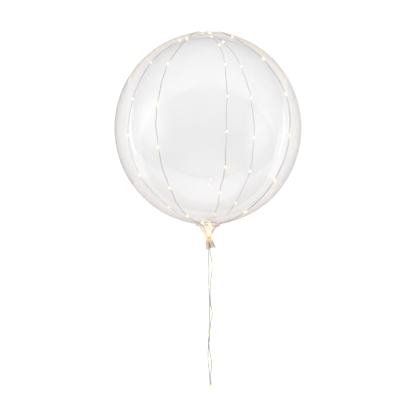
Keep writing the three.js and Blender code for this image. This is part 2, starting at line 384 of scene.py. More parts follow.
def evenly(points, spacing):
    """The same line with its points spaced evenly, nearly spacing apart."""
    along = np.concatenate([[0], np.cumsum(np.linalg.norm(np.diff(points, axis=0), axis=1))])
    places = np.linspace(0, along[-1], max(2, round(along[-1] / spacing) + 1))
    return np.stack([np.interp(places, along, points[:, axis]) for axis in range(3)], 1)


def frames_along(points):
    """Two crosswise directions at each point of a line, turned as little as possible along it."""
    tangents = np.gradient(points, axis=0)
    tangents /= np.linalg.norm(tangents, axis=1)[:, None]
    side = np.cross(tangents[0], (0.31, 0.17, 0.93))
    sides = []
    for tangent in tangents:
        side = side - tangent * side.dot(tangent)
        side = side / np.linalg.norm(side)
        sides.append(side)
    sides = np.array(sides)
    return sides, np.cross(tangents, sides), tangents


def tube(points, radius, sides=6):
    """A round tube with closed ends along a line."""
    across, up, _ = frames_along(points)
    angles = np.linspace(0, 2 * math.pi, sides, endpoint=False)
    rings = (
        points[:, None]
        + radius * np.cos(angles)[None, :, None] * across[:, None]
        + radius * np.sin(angles)[None, :, None] * up[:, None]
    )
    return loft(rings)


def twisted_pair(points, wire_radius, pitch):
    """Two wires that touch and turn round each other along a line."""
    across, up, _ = frames_along(points)
    along = np.concatenate([[0], np.cumsum(np.linalg.norm(np.diff(points, axis=0), axis=1))])
    parts = []
    for phase in (0, math.pi):
        turn = (2 * math.pi * along / pitch + phase)[:, None]
        wire = points + wire_radius * 1.03 * (np.cos(turn) * across + np.sin(turn) * up)
        parts.append(tube(wire, wire_radius))
    return merged(parts)


def lit_share(vertices, lamps, reach):
    """How near each vertex is to a lamp: 1 beside it, falling to 0 past its reach."""
    away = np.min(np.linalg.norm(vertices[:, None] - np.asarray(lamps)[None], axis=2), axis=1)
    return np.exp(-((away / reach) ** 2))


# A resin drop's half section, as (place along the wire, radius) in shares of its own sizes.
DROP_SECTION = [
    (-1.3, 0.1), (-1.12, 0.17), (-1.0, 0.32), (-0.86, 0.58), (-0.66, 0.82), (-0.4, 0.96), (-0.12, 1.0),
    (0.16, 0.99), (0.42, 0.9), (0.66, 0.72), (0.86, 0.47), (1.02, 0.26), (1.16, 0.15), (1.34, 0.1),
]
DROP_SIDES = 14
DROP_FULLER = 0.10                  # a drop is fuller on one side by this share
DROP_FLATTER = 0.12                 # and flatter where it lies on the film
EDGE_GLOW = 0.4                     # how bright the resin is at a drop's ends


def lamp_drop(place, along, outward, radius, half_length, seed):
    """A resin drop with its axis along the wire, a little flatter on the side it lies on."""
    along = along / np.linalg.norm(along)
    outward = outward - along * outward.dot(along)
    outward /= np.linalg.norm(outward)
    across = np.cross(along, outward)
    angles = np.linspace(0, 2 * math.pi, DROP_SIDES, endpoint=False)
    uneven = DROP_FULLER * np.cos(angles + seed) - DROP_FLATTER * (np.cos(angles) < -0.3)
    rings = []
    for place_along, share in DROP_SECTION:
        bulge = share * radius * (1 + share * uneven)
        rings.append(
            place + along * place_along * half_length
            + outward * (bulge * np.cos(angles))[:, None]
            + across * (bulge * np.sin(angles))[:, None]
        )
    return loft(rings)


def drop_light(vertices, place, half_length, glow):
    """How near each of a drop's vertices is to its lamp, and how brightly the resin is lit there."""
    away = np.linalg.norm(vertices - place, axis=1) / half_length
    core = 1 - smoothstep(0.25, 1.05, away)
    return {"core": core, "shine": EDGE_GLOW + (glow - EDGE_GLOW) * core**2.5}


def lights_of(lights):
    """The point values of several drops as one."""
    return {key: np.concatenate([light[key] for light in lights]) for key in lights[0]}


def ride_all(pieces):
    """Fixes pieces to the balloon's one body."""
    for piece in pieces:
        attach(piece, BODY)


# ---- the balloon's own upright frame ---------------------------------------------------------


def lying_down(film):
    """The matrix from the balloon's upright frame to the row frame, as it lies on its flat spot."""
    across = film.radius * math.cos(film.neck_drop)
    lengthwise = film.half_length * math.sin(film.neck_drop)
    support = math.hypot(across, lengthwise)
    flat_depth = REST_RADIUS**2 / (2 * support)
    stretch = film.half_length**2 - film.radius**2
    backward = stretch * math.sin(film.neck_drop) * math.cos(film.neck_drop) / support
    lie = Matrix.Rotation(film.neck_drop - math.pi / 2, 4, "X")
    return Matrix.Translation((0, backward, support - flat_depth)) @ lie


def in_row(film, points):
    """Points of the upright frame, in the row frame."""
    lie = np.array(lying_down(film))
    return np.asarray(points) @ lie[:3, :3].T + lie[:3, 3]


def neck_point(film, place):
    """(radius, height) on the neck's profile, for places from 0 at the ellipsoid to 1 at the mouth."""
    angle = math.radians(NECK_START)
    start = (film.radius * math.cos(angle), film.half_length * math.sin(angle))
    profile = np.array([start] + [(r * MM, h * MM) for r, h in NECK_PROFILE])
    last = len(profile) - 1
    leg = min(int(place * last), last - 1)
    t = place * last - leg
    p0, p1, p2, p3 = (profile[min(max(leg + i, 0), last)] for i in (-1, 0, 1, 2))
    return cubic(p1, p2, (p2 - p0) / 2, (p3 - p1) / 2, t)


def profile_at(film, station):
    """(radius, height) at a latitude down to NECK_START, and on from there towards the tie."""
    if station >= NECK_START:
        angle = math.radians(station)
        return np.array((film.radius * math.cos(angle), film.half_length * math.sin(angle)))
    return neck_point(film, TIE_PLACE * (NECK_START - station) / (NECK_START - TIE_STATION))


def lean_at(height):
    """How far to the right the nozzle's middle is at a height."""
    return NOZZLE_LEAN * np.maximum(0, LEAN_START - height)


def off_profile(film, station, lift, step):
    """(radius, height) at a lift from the profile, whose slope is taken a step to either side."""
    here = profile_at(film, station)
    along = profile_at(film, station - step) - profile_at(film, min(station + step, 90))
    along /= np.linalg.norm(along)
    return here[0] - along[1] * lift, here[1] + along[0] * lift


def round_axis(longitudes, radius, height):
    """Points round the balloon's axis, at longitudes in radians."""
    across = radius * np.sin(longitudes) + lean_at(height)
    return np.stack([across, -radius * np.cos(longitudes), height], -1)


def over_film(film, longitude, station, lift):
    """The point that is lift above the film, in the upright frame."""
    return round_axis(math.radians(longitude), *off_profile(film, station, lift, 0.5))


def settle(film, points, lift):
    """Draws points back to their lift over the ellipsoid, which a curve between lamps cuts across."""
    wide, long = film.radius + lift, film.half_length + lift
    across = np.hypot(points[:, 0], points[:, 1]) / wide
    scale = 1 / np.hypot(across, points[:, 2] / long)
    on_ellipsoid = points[:, 2] > film.half_length * math.sin(math.radians(NECK_START + 3))
    return np.where(on_ellipsoid[:, None], points * scale[:, None], points)


# ---- materials -------------------------------------------------------------------------------


def clear_film_material(film):
    """Blown polyurethane film: colourless and glossy. It gives the eye a grey edge, where the light
    passes through it at a slant, and the crisp shapes of the lights on its skin."""
    material, tree = new_material("clear polyurethane film, blown")
    where = add_node(tree, "ShaderNodeTexCoord")
    # The film is drawn a little more along some lines than others: ripples 70 mm wide, 0.05 mm deep.
    ripple = add_node(
        tree, "ShaderNodeTexNoise", {"Scale": 1 / (70 * MM), "Detail": 1.5},
        {"Vector": where.outputs["Object"]},
    )
    bump = add_node(
        tree, "ShaderNodeBump", {"Strength": 0.25, "Distance": 0.05 * MM},
        {"Height": ripple.outputs["Fac"]},
    )
    skin = add_node(
        tree, "ShaderNodeBsdfPrincipled",
        {
            "Base Color": opaque(film.film_colour), "Transmission Weight": 1.0, "Roughness": 0.015,
            "IOR": 1.45, "Coat Weight": 1.0, "Coat Roughness": 0.015, "Coat IOR": 1.01,
            "Coat Tint": (0.981, 0.979, 0.977, 1.0),
        },
        {"Normal": bump.outputs["Normal"]},
    )
    rays = add_node(tree, "ShaderNodeLightPath")
    through = add_node(tree, "ShaderNodeBsdfTransparent", {"Color": (1.0, 1.0, 1.0, 1.0)})
    lamp_pass = add_node(
        tree, "ShaderNodeMixShader",
        links={0: rays.outputs["Is Shadow Ray"], 1: skin.outputs[0], 2: through.outputs[0]},
    )
    add_node(tree, "ShaderNodeOutputMaterial", links={"Surface": lamp_pass.outputs[0]})
    return material


THROAT_GLOW = 0.09                  # painted glow over all the gathered film, standing in for the light it scatters
THROAT_LIT_GLOW = 0.17              # and right beside a lamp


def throat_film_material():
    """The film where it begins to gather: thin milky folds that the eye sees through, with painted shade
    that draws the pleat valleys darker and creamier, and a painted glow that is warmer where a lamp is
    near."""
    material, tree = new_material("polyurethane film, gathered, thin")
    where = add_node(tree, "ShaderNodeTexCoord")
    fold_shade = add_node(tree, "ShaderNodeAttribute", attribute_name="fold")
    lit = add_node(tree, "ShaderNodeAttribute", attribute_name="lit")
    creases = add_node(
        tree, "ShaderNodeTexNoise", {"Scale": 1 / (5 * MM), "Detail": 3},
        {"Vector": where.outputs["Object"]},
    )
    # Painted shade: the pleat valleys are drawn darker and creamier.
    shade = add_node(
        tree, "ShaderNodeMix", {6: opaque(linear("#efe6dd")), 7: opaque(linear("#dfcfbc"))},
        {0: fold_shade.outputs["Fac"]}, data_type="RGBA",
    )
    bump = add_node(
        tree, "ShaderNodeBump", {"Strength": 0.4, "Distance": 0.4 * MM},
        {"Height": creases.outputs["Fac"]},
    )
    rough = add_node(
        tree, "ShaderNodeMapRange", {"To Min": 0.2, "To Max": 0.35}, {"Value": creases.outputs["Fac"]}
    )
    glow = add_node(
        tree, "ShaderNodeMapRange", {"To Min": THROAT_GLOW, "To Max": THROAT_LIT_GLOW},
        {"Value": lit.outputs["Fac"]},
    )
    skin = add_node(
        tree, "ShaderNodeBsdfPrincipled",
        {"Alpha": 0.30, "IOR": 1.45, "Emission Color": opaque(linear("#fff3dd"))},
        {
            "Base Color": shade.outputs[2], "Roughness": rough.outputs[0],
            "Normal": bump.outputs["Normal"], "Emission Strength": glow.outputs[0],
        },
    )
    add_node(tree, "ShaderNodeOutputMaterial", links={"Surface": skin.outputs[0]})
    return material


SLEEVE_GLOW = 0.55                  # the lamps' light inside the nozzle, beside the tie


def gathered_film_material(film):
    """The same film gathered by hand in crumpled layers: milky and tan, with painted shade that draws its
    folds, its right side and its inner face darker, and a painted glow of the lamps inside it near the
    tie."""
    material, tree = new_material("polyurethane film, gathered and crumpled")
    where = add_node(tree, "ShaderNodeTexCoord")
    fold_shade = add_node(tree, "ShaderNodeAttribute", attribute_name="fold")
    lit = add_node(tree, "ShaderNodeAttribute", attribute_name="lit")
    creases = add_node(
        tree, "ShaderNodeTexNoise", {"Scale": 1 / (4 * MM), "Detail": 4, "Roughness": 0.6},
        {"Vector": where.outputs["Object"]},
    )
    # Painted shade: towards dark brown in the folds, on the nozzle's right side and on its inner face.
    shade = add_node(
        tree, "ShaderNodeMix", {6: opaque(film.sleeve_colour), 7: opaque(linear("#a07f57"))},
        {0: fold_shade.outputs["Fac"]}, data_type="RGBA",
    )
    bump = add_node(
        tree, "ShaderNodeBump", {"Strength": 0.6, "Distance": 0.5 * MM},
        {"Height": creases.outputs["Fac"]},
    )
    rough = add_node(
        tree, "ShaderNodeMapRange", {"To Min": 0.22, "To Max": 0.42}, {"Value": creases.outputs["Fac"]}
    )
    glow = add_node(
        tree, "ShaderNodeMath", {1: SLEEVE_GLOW}, {0: lit.outputs["Fac"]}, operation="MULTIPLY"
    )
    skin = add_node(
        tree, "ShaderNodeBsdfPrincipled",
        {
            "Transmission Weight": 0.35, "IOR": 1.45, "Subsurface Weight": 0.3,
            "Subsurface Radius": (0.004, 0.003, 0.002), "Emission Color": opaque(linear("#f8d05a")),
        },
        {
            "Base Color": shade.outputs[2], "Roughness": rough.outputs[0],
            "Normal": bump.outputs["Normal"], "Emission Strength": glow.outputs[0],
        },
    )
    add_node(tree, "ShaderNodeOutputMaterial", links={"Surface": skin.outputs[0]})
    return material


def wire_material(name, colour, glow_colour, lit_strength):
    """Enamelled copper wire, drawn: a satin metal with fine draw lines along it. Beside each lamp it
    takes up the lamp's warm light."""
    material, tree = new_material(name)
    where = add_node(tree, "ShaderNodeTexCoord")
    lit = add_node(tree, "ShaderNodeAttribute", attribute_name="lit")
    # Enamel builds up in beads some 3 mm apart, which shade the wire lighter and darker.
    beads = add_node(
        tree, "ShaderNodeTexNoise", {"Scale": 1 / (3 * MM), "Detail": 2},
        {"Vector": where.outputs["Object"]},
    )
    darker = [channel * 0.75 for channel in colour]
    lighter = [min(1, channel * 1.25) for channel in colour]
    tone = add_node(
        tree, "ShaderNodeMix", {6: opaque(darker), 7: opaque(lighter)}, {0: beads.outputs["Fac"]},
        data_type="RGBA",
    )
    rough = add_node(
        tree, "ShaderNodeMapRange", {"To Min": 0.3, "To Max": 0.5}, {"Value": beads.outputs["Fac"]}
    )
    bump = add_node(
        tree, "ShaderNodeBump", {"Strength": 0.3, "Distance": 0.05 * MM},
        {"Height": beads.outputs["Fac"]},
    )
    warm = add_node(
        tree, "ShaderNodeMath", {1: lit_strength}, {0: lit.outputs["Fac"]}, operation="MULTIPLY"
    )
    metal = add_node(
        tree, "ShaderNodeBsdfPrincipled",
        {"Metallic": 0.85, "Emission Color": opaque(glow_colour)},
        {
            "Base Color": tone.outputs[2], "Roughness": rough.outputs[0],
            "Normal": bump.outputs["Normal"], "Emission Strength": warm.outputs[0],
        },
    )
    add_node(tree, "ShaderNodeOutputMaterial", links={"Surface": metal.outputs[0]})
    return material


def lamp_material(name, resin_colour, core_colour, edge_colour):
    """Epoxy drop cast round a lit lamp: cream-white in the middle, where the lamp shows through it,
    and yellower towards its ends, where the resin wets the wire."""
    material, tree = new_material(name)
    core = add_node(tree, "ShaderNodeAttribute", attribute_name="core")
    where = add_node(tree, "ShaderNodeTexCoord")
    flow = add_node(
        tree, "ShaderNodeTexNoise", {"Scale": 1 / (2 * MM), "Detail": 1},
        {"Vector": where.outputs["Object"]},
    )
    bump = add_node(
        tree, "ShaderNodeBump", {"Strength": 0.2, "Distance": 0.1 * MM},
        {"Height": flow.outputs["Fac"]},
    )
    tint = add_node(
        tree, "ShaderNodeMix", {6: opaque(edge_colour), 7: opaque(core_colour)},
        {0: core.outputs["Fac"]}, data_type="RGBA",
    )
    strength = add_node(tree, "ShaderNodeAttribute", attribute_name="shine")
    resin = add_node(
        tree, "ShaderNodeBsdfPrincipled",
        {
            "Base Color": opaque(resin_colour), "Roughness": 0.12, "IOR": 1.55,
            "Transmission Weight": 0.4,
        },
        {
            "Normal": bump.outputs["Normal"], "Emission Color": tint.outputs[2],
            "Emission Strength": strength.outputs["Fac"],
        },
    )
    add_node(tree, "ShaderNodeOutputMaterial", links={"Surface": resin.outputs[0]})
    return material


def floor_material():
    """Matt white paper sweep: even and pale, with a trace of tooth."""
    material, tree = new_material("white paper sweep, matt")
    where = add_node(tree, "ShaderNodeTexCoord")
    tooth = add_node(
        tree, "ShaderNodeTexNoise", {"Scale": 1 / (6 * MM), "Detail": 2},
        {"Vector": where.outputs["Object"]},
    )
    bump = add_node(
        tree, "ShaderNodeBump", {"Strength": 0.05, "Distance": 0.1 * MM},
        {"Height": tooth.outputs["Fac"]},
    )
    paper = add_node(
        tree, "ShaderNodeBsdfPrincipled", {"Base Color": opaque(linear("#f6f6f6")), "Roughness": 0.9},
        {"Normal": bump.outputs["Normal"]},
    )
    add_node(tree, "ShaderNodeOutputMaterial", links={"Surface": paper.outputs[0]})
    return material


def card_material(name, strength, size, firm):
    """Cloth lit from behind, brightest in its middle and fading to its edges."""
    material, tree = new_material(f"diffusion cloth, lit, {name}")
    where = add_node(tree, "ShaderNodeTexCoord")
    shares = add_node(
        tree, "ShaderNodeVectorMath", {1: (2 / size[0], 2 / size[1], 0)}, {0: where.outputs["Object"]},
        operation="MULTIPLY",
    )
    away = add_node(tree, "ShaderNodeVectorMath", links={0: shares.outputs[0]}, operation="LENGTH")
    fade = add_node(
        tree, "ShaderNodeMapRange", {"From Min": firm, "From Max": 1, "To Min": strength, "To Max": 0},
        {"Value": away.outputs["Value"]}, interpolation_type="SMOOTHERSTEP",
    )
    glow = add_node(tree, "ShaderNodeEmission", links={"Strength": fade.outputs[0]})
    add_node(tree, "ShaderNodeOutputMaterial", links={"Surface": glow.outputs[0]})
    return material


# ---- the studio ------------------------------------------------------------------------------


FLAG_HEIGHT = 2 * MM                # of a flag sheet over the floor


def sheet(name, size, material):
    """A flat sheet of a width and a length, with its middle at the origin."""
    x, y = size[0] / 2, size[1] / 2
    return mesh_object(name, [(-x, -y, 0), (x, -y, 0), (x, y, 0), (-x, y, 0)], [(0, 1, 2, 3)], material)


def mirrored_only(thing):
    """Sets up a flag sheet or a card of the stage that is seen only where the film mirrors it."""
    thing.visible_camera = False
    thing.visible_transmission = False
    thing.visible_diffuse = False
    thing.visible_shadow = False


class BALLOON_OT_studio(Operator):
    """Adds the camera, the floor and the lights"""

    bl_idname = "balloon.studio"
    bl_label = "Studio"

    def execute(self, context):
        studio, film = context.scene.balloon_studio, context.scene.balloon_film
        scene = context.scene
        scene.view_settings.view_transform = "Standard"

        lie = lying_down(film)
        aim = lie @ Vector((0, 0, -studio.view_drop))
        tilt = studio.camera_elevation
        back = Vector((0, -math.cos(tilt), math.sin(tilt)))
        camera = bpy.data.cameras.new("camera")
        camera.sensor_width = 36
        camera.lens = camera.sensor_width * studio.camera_distance / studio.view_height
        holder = bpy.data.objects.new("camera", camera)
        holder.location = aim + back * studio.camera_distance
        holder.rotation_euler = (math.pi / 2 - tilt, 0, 0)
        scene.collection.objects.link(holder)
        scene.camera = holder

        sheet("floor", (studio.floor_size, studio.floor_size), floor_material())

        world = bpy.data.worlds.new("studio air")
        world.use_nodes = True
        world.node_tree.nodes["Background"].inputs["Color"].default_value = (0.98, 0.98, 1.0, 1.0)
        world.node_tree.nodes["Background"].inputs["Strength"].default_value = 0.12
        scene.world = world

        self.top_light()
        # Two narrow strips give the film its crisp crescents, and two large soft cards behind them
        # give it the broad pale glows inside those.
        for name, spot, reach, size, strength, firm in (
            ("left strip", (-0.79, 0.0), 0.60, (0.035, 0.62), 3.6, 0.75),
            ("right strip", (0.775, -0.03), 0.60, (0.035, 0.62), 4.2, 0.75),
            ("left card", (-0.57, 0.0), 1.0, (1.35, 1.8), 2.7, 0.0),
            ("right card", (0.52, -0.10), 1.0, (1.15, 1.8), 2.4, 0.0),
        ):
            self.card(name, film, tilt, spot, reach, size, strength, firm)
        # Self-lit sheets over the floor, seen only in the film's mirror, paint a darker reflection along
        # the balloon's outline on each side.
        for name, arc, turns, colour in (
            ("left flag", (145, 215), (11, 70), "#cbc8c6"),
            ("right flag", (-35, 35), (18, 70), "#d1cecb"),
            ("front flag", (215, 325), (11, 62), "#ecded8"),
            ("front far flag", (215, 325), (62, 100), "#a08e73"),
            ("back flag", (35, 145), (13, 52), "#f6e7ce"),
        ):
            self.flag(name, film, holder.location, arc, turns, linear(colour))
        return {"FINISHED"}

    def flag(self, name, film, camera_place, arc, turns, colour):
        """A self-lit sheet of a fixed colour over the floor, outside the camera's sight, which only the
        film's mirror sees: it is a painted reflection that draws the outline darker than the paper behind
        it. Arc is the part of the outline, in degrees from its right side. Turns are how far the mirrored
        sight turns away, in degrees, at the sheet's two edges."""
        lie = lying_down(film)
        size = np.array((film.radius, film.radius, film.half_length))
        sight = np.array(lie.inverted() @ camera_place) / size
        away = np.linalg.norm(sight)
        sight /= away
        right = np.array((1.0, 0, 0))
        up = np.cross(sight, right)
        angles = np.radians(np.linspace(*arc, 40))[:, None]
        rim = np.cos(angles) * right + np.sin(angles) * up
        outline = sight / away + math.sqrt(1 - 1 / away**2) * rim
        turned = np.array(lie.to_3x3())
        normals = (outline / size) @ turned.T
        normals /= np.linalg.norm(normals, axis=1)[:, None]
        places = in_row(film, outline * size)
        sights = places - np.array(camera_place)
        sights /= np.linalg.norm(sights, axis=1)[:, None]
        edges = []
        for turn in np.radians(turns):
            mirrored = sights * math.cos(turn) + normals * math.sin(turn)
            fall = np.minimum(mirrored[:, 2:], -0.25)       # a sight near the horizon ends nearby
            edge = places + mirrored * (FLAG_HEIGHT - places[:, 2:]) / fall
            edge[:, 2] = FLAG_HEIGHT
            edges.append(edge)
        count = len(angles)
        material, tree = new_material(f"flag cloth, matt, {name}")
        # Painted reflection: the sheet shines with its fixed colour whatever the lights.
        cloth = add_node(tree, "ShaderNodeEmission", {"Color": opaque(colour)})
        add_node(tree, "ShaderNodeOutputMaterial", links={"Surface": cloth.outputs[0]})
        faces = [(i, i + 1, count + i + 1, count + i) for i in range(count - 1)]
        mirrored_only(mesh_object(name, np.vstack(edges), faces, material))

    def top_light(self):
        """A large soft light overhead, which lights the floor and isn't mirrored in the film."""
        light = bpy.data.lights.new("top light", "AREA")
        light.shape = "RECTANGLE"
        light.size, light.size_y, light.energy = 4.0, 4.0, 194
        holder = bpy.data.objects.new("top light", light)
        holder.location = (0, -0.5, 3.3)
        holder.visible_camera = False
        holder.visible_transmission = False
        holder.visible_glossy = False
        bpy.context.scene.collection.objects.link(holder)

    def card(self, name, film, tilt, spot, reach, size, strength, firm):
        """A bright card that the film mirrors, for the camera, at spot, given across and towards the
        crown in shares of the radius. Firm is the share of its size with an even brightness."""
        lie = lying_down(film)
        across = Vector((1, 0, 0))
        crown = lie.to_3x3() @ Vector((0, 0, 1))
        to_camera = Vector((0, -math.cos(tilt), math.sin(tilt)))
        facing = math.sqrt(1 - spot[0] ** 2 - spot[1] ** 2)
        normal = across * spot[0] + crown * spot[1] + to_camera * facing
        place = lie.translation + normal * film.radius
        mirrored = 2 * facing * normal - to_camera
        card = sheet(name, size, card_material(name, strength, size, firm))
        side = crown.cross(mirrored).normalized()
        turn = Matrix((side, mirrored.cross(side), mirrored)).transposed().to_4x4()
        card.matrix_world = Matrix.Translation(place + mirrored * reach) @ turn
        mirrored_only(card)


# ---- the tail --------------------------------------------------------------------------------


DROP_REACH = 9 * MM                 # how far along a wire a lamp's light shows


def tail_drop(string, name, place, along, seed, resin):
    """One of the tail's drops, as a piece of its own."""
    radius, half_length = string.tail_lamp_radius, string.tail_lamp_half_length
    vertices, faces = lamp_drop(place, along, np.array((0, 0, 1.0)), radius, half_length, seed)
    light = drop_light(vertices, place, half_length, string.tail_glow)
    return mesh_object(name, vertices, faces, resin, light)


def tail_strand(string, name, route, lamp_places, wire_finish, resin):
    """One strand of the tail with its drops. Gives the wire, its drops and its centreline."""
    points = np.array(route) * MM
    line = spline(points, 1.0 * MM)
    lamps = points[lamp_places]
    vertices, faces = twisted_pair(line, string.tail_wire_radius, string.twist_pitch)
    lit = lit_share(vertices, lamps, DROP_REACH)
    wire = mesh_object(name, vertices, faces, wire_finish, {"lit": lit})
    drops = []
    for i, at in enumerate(lamp_places):
        along = points[min(at + 1, len(points) - 1)] - points[max(at - 1, 0)]
        drops.append(tail_drop(string, f"{name}_lamp_{i + 1}", points[at], along, i * 1.7, resin))
    return wire, drops, line


class BALLOON_OT_tail(Operator):
    """Adds the tail: the string folded double, with its drops"""

    bl_idname = "balloon.tail"
    bl_label = "Tail"

    def execute(self, context):
        string = context.scene.balloon_string
        wire_finish = wire_material(
            "silvered copper wire, drawn", string.tail_colour, string.glow_colour, 0.35
        )
        resin = lamp_material(
            "clear epoxy drop, cast, tail", linear("#f1e7c0"), linear("#f3ecbc"), linear("#bcad6c")
        )
        wire_a, drops_a, line_a = tail_strand(
            string, "tail_wire_a", TAIL_A, TAIL_A_LAMPS, wire_finish, resin
        )
        wire_b, drops_b, line_b = tail_strand(
            string, "tail_wire_b", TAIL_B, TAIL_B_LAMPS, wire_finish, resin
        )
        before_tip, tip = np.array(TAIL_A[-2:]) * MM
        end_drop = tail_drop(string, "tail_end_lamp", tip, tip - before_tip, 0.4, resin)
        ride_all([wire_a, wire_b])
        ride_all([*drops_a, *drops_b, end_drop])
        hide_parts("tail_strand_a")
        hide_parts("tail_strand_b")
        return {"FINISHED"}


# ---- the film --------------------------------------------------------------------------------


FILM_START = 89.2                   # station of the small lid of film at the crown
FILM_END = -80                      # station where the smooth film ends and the gathers begin
FILM_AROUND = 240
PLEAT_START = -58                   # station where the film begins to fall into pleats
PLEAT_DEPTH = 1.6 * MM
CREASE_START = 62                   # station where the crown's faint creases begin
CREASE_DEPTH = 0.9 * MM


def gathered(station, longitudes):
    """How far the film stands out from its round section, in pleats that deepen towards the tie and
    faint creases that run to the crown."""
    pleats = (
        0.50 * np.sin(13 * longitudes + 0.7)
        + 0.32 * np.sin(19 * longitudes + 2.1 + station * 0.05)
        + 0.26 * np.sin(29 * longitudes + 4.4)
    )
    creases = 0.5 * np.sin(9 * longitudes + 1.2) + 0.4 * np.sin(14 * longitudes + 3.0)
    pleated = smoothstep(PLEAT_START, TIE_STATION, station) ** 2.2 * PLEAT_DEPTH
    creased = smoothstep(CREASE_START, 90, station) * np.cos(math.radians(station)) * CREASE_DEPTH
    return pleated * pleats + creased * creases


def film_ring(film, station, inset):
    """A ring of the film, inset from its outer face."""
    longitudes = np.linspace(0, 2 * math.pi, FILM_AROUND, endpoint=False)
    out = gathered(station, longitudes) - inset
    return round_axis(longitudes, *off_profile(film, station, out, 0.4))


def film_face(film, inset):
    """The film's rings from the crown down to where the gathers begin, closer together there."""
    share = np.linspace(0, 1, film.rings) ** 0.92
    return [film_ring(film, station, inset) for station in FILM_START + (FILM_END - FILM_START) * share]


class BALLOON_OT_film(Operator):
    """Adds the blown film, a thin closed skin with an outer and an inner face"""

    bl_idname = "balloon.film"
    bl_label = "Film"

    def execute(self, context):
        film = context.scene.balloon_film
        outer = film_face(film, 0)
        inner = film_face(film, film.thickness)
        vertices, faces = loft(outer + inner[::-1])
        vertices = in_row(film, vertices)
        inside = np.zeros(len(vertices), bool)
        inside[film.rings * FILM_AROUND : -2] = True
        inside[-1] = True
        lowest = np.where(inside, film.thickness + REST_GAP, REST_GAP)
        vertices[:, 2] = np.maximum(vertices[:, 2], lowest)
        skin = mesh_object("bubble_film", vertices, faces, clear_film_material(film))
        ride_all([skin])
        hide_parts("bubble")
        return {"FINISHED"}


THROAT_END = -99.4                  # station of its last ring, just above the tie
THROAT_RINGS = 44
THROAT_THICKNESS = 0.3 * MM
THROAT_REACH = 10 * MM              # how far a lamp's light shows in the gathered film


class BALLOON_OT_throat(Operator):
    """Adds the throat, where the film is drawn together into the tie"""

    bl_idname = "balloon.throat"
    bl_label = "Throat"

    def execute(self, context):
        film = context.scene.balloon_film
        longitudes = np.linspace(0, 2 * math.pi, FILM_AROUND, endpoint=False)
        outer, inner, fold_shades = [], [], []
        for station in np.linspace(FILM_END + 0.3, THROAT_END, THROAT_RINGS):
            outer.append(film_ring(film, station, -THROAT_THICKNESS / 2))
            inner.append(film_ring(film, station, THROAT_THICKNESS / 2))
            # Painted shade: the deeper the film lies in a pleat's valley, the darker it is drawn.
            fold_shades.append(np.clip(0.5 - gathered(station, longitudes) / PLEAT_DEPTH, 0, 1))
        vertices, faces = loft(outer + inner[::-1], ring_shaped=True)
        lamps = [wrap_point(film, turned) for turned in WRAP_LAMPS]
        throat = mesh_object(
            "neck_throat", in_row(film, vertices), faces, throat_film_material(),
            {
                "fold": np.concatenate([*fold_shades, *fold_shades[::-1]]),
                "lit": lit_share(vertices, lamps, THROAT_REACH),
            },
        )
        throat.visible_shadow = False       # it is so thin that its shadow can't be seen on the paper
        ride_all([throat])
        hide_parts("bubble")
        return {"FINISHED"}


# The nozzle below the tie, as (height in mm, half width, half depth, valley depth as a share).
SLEEVE_SECTIONS = [
    (-255, 6.4, 6.2, 0.0), (-258.6, 4.9, 4.8, 0.0), (-261.2, 4.4, 4.2, 0.02), (-264.4, 5.6, 4.4, 0.04),
    (-268, 7.8, 4.9, 0.08), (-272, 9.2, 5.0, 0.28), (-276, 10.0, 5.2, 0.60), (-281.4, 10.6, 5.6, 0.66),
    (-284.8, 11.0, 6.0, 0.64), (-287, 11.3, 6.6, 0.55),
]
SLEEVE_RINGS = 60
SLEEVE_ANGLES = np.linspace(-math.pi, math.pi, 96, endpoint=False)      # 0 is the front
SLEEVE_THICKNESS = 0.4 * MM
DEEPEST_VALLEY = 0.66
VALLEY_PLACE = math.radians(-16)    # the front fold is left of the nozzle's middle
VALLEY_WIDTH = math.radians(15)
BACK_VALLEY_PLACE = math.radians(150)       # on both sides
BACK_VALLEY_WIDTH = math.radians(16)
BACK_VALLEY_SHARE = 0.35
FLARE_START = -261 * MM             # height where the nozzle begins to crumple and flare
FLARE_LENGTH = 26 * MM
MOUTH_SLANT = 0.26                  # the mouth's rim rises to the right by this much of its width


def sleeve_ring(height, half_width, half_depth, valley, inset):
    """A ring of the nozzle, inset from its outer face, and its points' share of the front fold."""
    angles = SLEEVE_ANGLES
    fold = np.exp(-(((angles - VALLEY_PLACE) / VALLEY_WIDTH) ** 2))
    back_fold = np.exp(-(((np.abs(angles) - BACK_VALLEY_PLACE) / BACK_VALLEY_WIDTH) ** 2))
    flare = np.clip((FLARE_START - height) / FLARE_LENGTH, 0, 1)
    crumple = 1 + flare * (
        0.06 * np.sin(5 * angles + height * 420) + 0.05 * np.sin(9 * angles - height * 610 + 1)
        + 0.03 * np.sin(17 * angles + height * 900)
    )
    swell = crumple * (1 - valley * fold - BACK_VALLEY_SHARE * valley * back_fold)
    x = np.maximum(half_width * MM - inset, 0.2 * MM) * swell * np.sin(angles)
    y = -np.maximum(half_depth * MM - inset, 0.2 * MM) * swell * np.cos(angles)
    slant = flare**2 * (x * MOUTH_SLANT + 1.2 * MM * np.sin(3 * angles + 0.6))
    return np.stack([x + lean_at(height), y, height + slant], 1), fold


